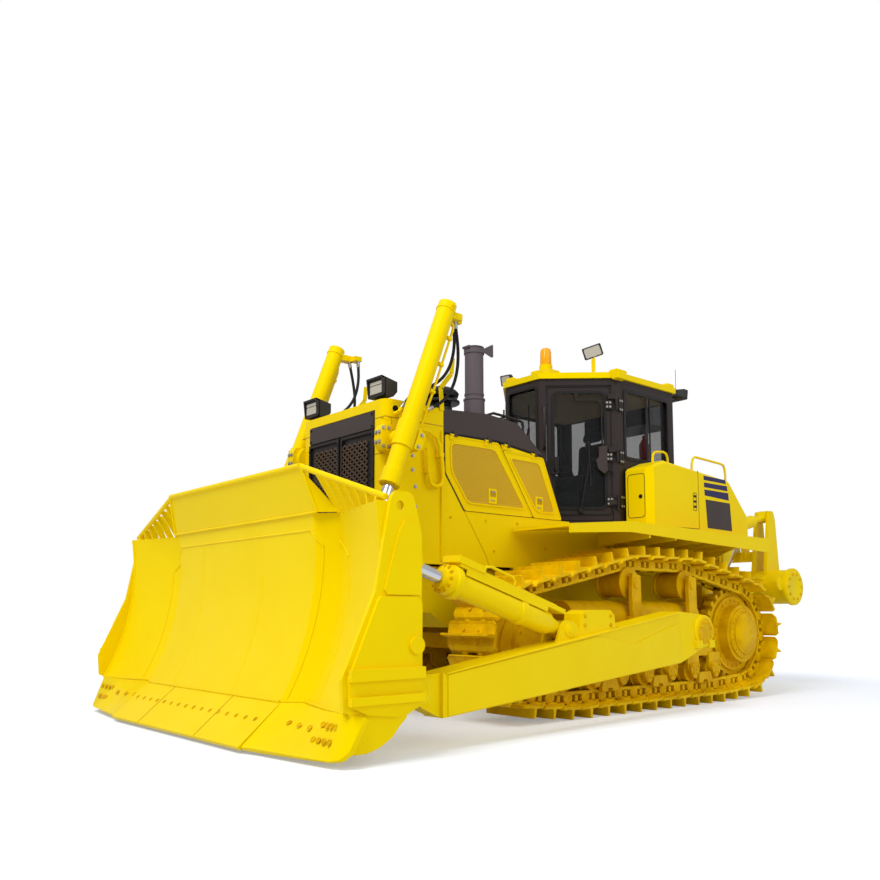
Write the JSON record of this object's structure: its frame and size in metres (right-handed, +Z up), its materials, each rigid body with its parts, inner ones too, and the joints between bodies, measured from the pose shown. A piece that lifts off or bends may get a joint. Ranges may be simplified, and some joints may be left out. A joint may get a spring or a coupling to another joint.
{
  "type": "crawler bulldozer",
  "caption": "Large crawler bulldozer with a sigma blade on outside push arms, a hexagonal cab and a parallelogram ripper.",
  "frame": {"origin": "middle of the footprint box, on the ground that the tracks stand on", "axes": "+X forward to the blade, +Y to the operator's left, +Z up"},
  "size_m": [7.9194, 4.13, 3.77],
  "materials": {
    "yellow": "gloss enamel",
    "charcoal": "satin enamel",
    "black": "satin enamel",
    "steel": "worn dark steel",
    "track_steel": "worn dark steel",
    "chrome": "hard chrome",
    "exhaust": "heat-resistant grey paint",
    "rubber": "black rubber hose",
    "glass": "tinted safety glass",
    "seat": "black vinyl",
    "plastic": "moulded dark grey plastic",
    "amber": "amber lens"
  },
  "bodies": {
    "root": {"main_frame": "yellow", "engine": "steel", "radiator_guard": "yellow", "grille_door": "black", "hood_cover": "charcoal", "side_panels": "yellow", "exhaust_stack": "exhaust", "air_precleaner": "black", "work_lamps": "plastic", "beacon": "amber", "cab_frame": "yellow", "cab_glass": "glass", "cab_roof": "yellow", "operator_seat": "seat", "seat_console": "plastic", "left_side_tank": "yellow", "right_side_tank": "yellow", "fuel_tank": "yellow", "fenders": "yellow", "track_frame_left": "yellow", "track_frame_right": "yellow", "track_left": "track_steel", "track_right": "track_steel", "sprockets": "steel", "idlers": "steel", "track_rollers": "steel", "carrier_rollers": "steel", "equalizer_bar": "steel", "ripper_bracket": "yellow", "lift_hose_left_rear": "rubber", "lift_hose_left_front": "rubber", "lift_hose_right_rear": "rubber", "lift_hose_right_front": "rubber"},
    "blade": {"moldboard": "yellow", "cutting_edge": "steel", "spill_guard": "yellow", "end_plates": "yellow", "push_arm_left": "yellow", "push_arm_right": "yellow", "blade_lugs": "yellow", "tilt_cylinder": "yellow", "blade_brace": "yellow"},
    "lift_barrel_left": {"lift_barrel_left": "yellow"},
    "lift_barrel_right": {"lift_barrel_right": "yellow"},
    "lift_rod_left": {"lift_rod_left": "chrome"},
    "lift_rod_right": {"lift_rod_right": "chrome"},
    "cab_door_left": {"cab_door_left": "yellow", "door_glass_left": "glass"},
    "cab_door_right": {"cab_door_right": "yellow", "door_glass_right": "glass"},
    "engine_door_front_left": {"engine_door_front_left": "yellow"},
    "engine_door_front_right": {"engine_door_front_right": "yellow"},
    "engine_door_rear_left": {"engine_door_rear_left": "yellow"},
    "engine_door_rear_right": {"engine_door_rear_right": "yellow"},
    "ripper_arms": {"ripper_arms": "yellow"},
    "ripper_beam": {"ripper_beam": "yellow", "ripper_shank": "steel"},
    "ripper_tilt_cylinders": {"ripper_tilt_cylinders": "yellow"},
    "ripper_lift_barrels": {"ripper_lift_barrels": "yellow"},
    "ripper_lift_rods": {"ripper_lift_rods": "chrome"}
  },
  "joints": [
    {"name": "blade_lift", "type": "hinge", "parent": "root", "child": "blade", "pos_m": [-0.4875, 0, 0.73], "axis": [0, -1, 0], "range_deg": [-8.1, 15.6]},
    {"name": "ripper_lift", "type": "hinge", "parent": "root", "child": "ripper_arms", "pos_m": [-2.3275, 0, 1.04], "axis": [0, 1, 0], "range_deg": [-58, 8]},
    {"name": "ripper_beam_pivot", "type": "hinge", "parent": "ripper_arms", "child": "ripper_beam", "pos_m": [-3.1275, 0, 1.24], "axis": [0, -1, 0], "range_deg": [-58.5, 8.5]},
    {"name": "ripper_tilt_pivot", "type": "hinge", "parent": "root", "child": "ripper_tilt_cylinders", "pos_m": [-2.6175, 0, 1.885], "axis": [0, 1, 0], "range_deg": [-58.5, 8.5]},
    {"name": "ripper_barrel_pivot", "type": "hinge", "parent": "root", "child": "ripper_lift_barrels", "pos_m": [-2.3675, 0, 0.7], "axis": [0, 1, 0], "range_deg": [-31, 5]},
    {"name": "ripper_rod_slide", "type": "slide", "parent": "ripper_lift_barrels", "child": "ripper_lift_rods", "axis": [-0.687, 0, 0.7266], "range_m": [-0.6, 0.09]},
    {"name": "lift_barrel_left_pivot", "type": "hinge", "parent": "root", "child": "lift_barrel_left", "pos_m": [2.3925, 0.84, 2.31], "axis": [0, -1, 0], "range_deg": [-6.6, 12.5], "deforming": ["lift_hose_left_rear", "lift_hose_left_front"]},
    {"name": "lift_rod_left_slide", "type": "slide", "parent": "lift_barrel_left", "child": "lift_rod_left", "axis": [0.3568, 0, -0.9342], "range_m": [-0.9, 0.47]},
    {"name": "cab_door_left_hinge", "type": "hinge", "parent": "root", "child": "cab_door_left", "pos_m": [-0.38242, 0.79833, 2.5], "axis": [0, 0, 1], "range_deg": [0, 110]},
    {"name": "engine_door_front_left_hinge", "type": "hinge", "parent": "root", "child": "engine_door_front_left", "pos_m": [1.5125, 0.652, 2.441], "axis": [1, 0, 0], "range_deg": [0, 85]},
    {"name": "engine_door_rear_left_hinge", "type": "hinge", "parent": "root", "child": "engine_door_rear_left", "pos_m": [0.5825, 0.652, 2.376], "axis": [0.9934, 0, 0.1151], "range_deg": [0, 85]},
    {"name": "lift_barrel_right_pivot", "type": "hinge", "parent": "root", "child": "lift_barrel_right", "pos_m": [2.3925, -0.84, 2.31], "axis": [0, -1, 0], "range_deg": [-6.6, 12.5], "deforming": ["lift_hose_right_rear", "lift_hose_right_front"]},
    {"name": "lift_rod_right_slide", "type": "slide", "parent": "lift_barrel_right", "child": "lift_rod_right", "axis": [0.3568, 0, -0.9342], "range_m": [-0.9, 0.47]},
    {"name": "cab_door_right_hinge", "type": "hinge", "parent": "root", "child": "cab_door_right", "pos_m": [-0.38242, -0.79833, 2.5], "axis": [0, 0, -1], "range_deg": [0, 110]},
    {"name": "engine_door_front_right_hinge", "type": "hinge", "parent": "root", "child": "engine_door_front_right", "pos_m": [1.5125, -0.652, 2.441], "axis": [-1, 0, 0], "range_deg": [0, 85]},
    {"name": "engine_door_rear_right_hinge", "type": "hinge", "parent": "root", "child": "engine_door_rear_right", "pos_m": [0.5825, -0.652, 2.376], "axis": [-0.9934, 0, -0.1151], "range_deg": [0, 85]}
  ],
  "couplings": [
    {"joint": "ripper_beam_pivot", "follows": "ripper_lift", "ratio": 1},
    {"joint": "ripper_tilt_pivot", "follows": "ripper_lift", "ratio": 1},
    {"joint": "ripper_barrel_pivot", "follows": "ripper_lift", "ratio": 0.445},
    {"joint": "ripper_rod_slide", "follows": "ripper_lift", "m_per_rad": 0.585},
    {"joint": "lift_barrel_left_pivot", "follows": "blade_lift", "ratio": 0.79},
    {"joint": "lift_rod_left_slide", "follows": "blade_lift", "m_per_rad": -3.262},
    {"joint": "lift_barrel_right_pivot", "follows": "blade_lift", "ratio": 0.79},
    {"joint": "lift_rod_right_slide", "follows": "blade_lift", "m_per_rad": -3.262}
  ]
}
